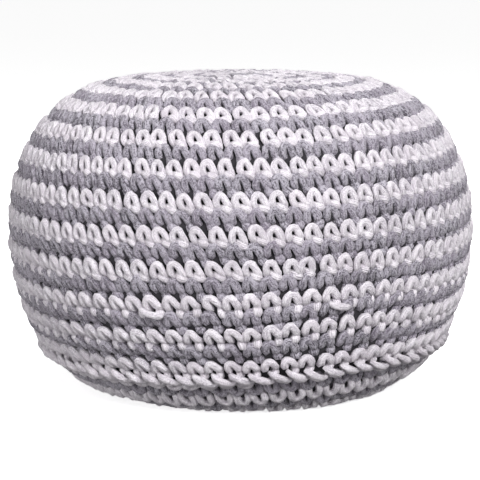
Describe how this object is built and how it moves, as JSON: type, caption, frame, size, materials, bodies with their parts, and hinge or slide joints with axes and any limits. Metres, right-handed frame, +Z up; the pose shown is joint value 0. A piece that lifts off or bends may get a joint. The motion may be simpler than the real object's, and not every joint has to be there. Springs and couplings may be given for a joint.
{
  "type": "crocheted pouf",
  "caption": "Round stuffed pouf with a crocheted cover in alternating grey and white rounds, a joined base panel and a flat resting face.",
  "frame": {"origin": "middle of the flat face that rests on the floor", "axes": "+Z up along the pouf's own round axis; the pictured side faces -Y and +X is to its right"},
  "size_m": [0.5004, 0.5004, 0.329],
  "materials": {
    "grey_yarn": "matt cotton cord",
    "white_yarn": "matt cotton cord"
  },
  "bodies": {
    "root": {"cover": "grey_yarn", "base_panel": "grey_yarn", "seam_chain": "white_yarn"}
  },
  "joints": []
}
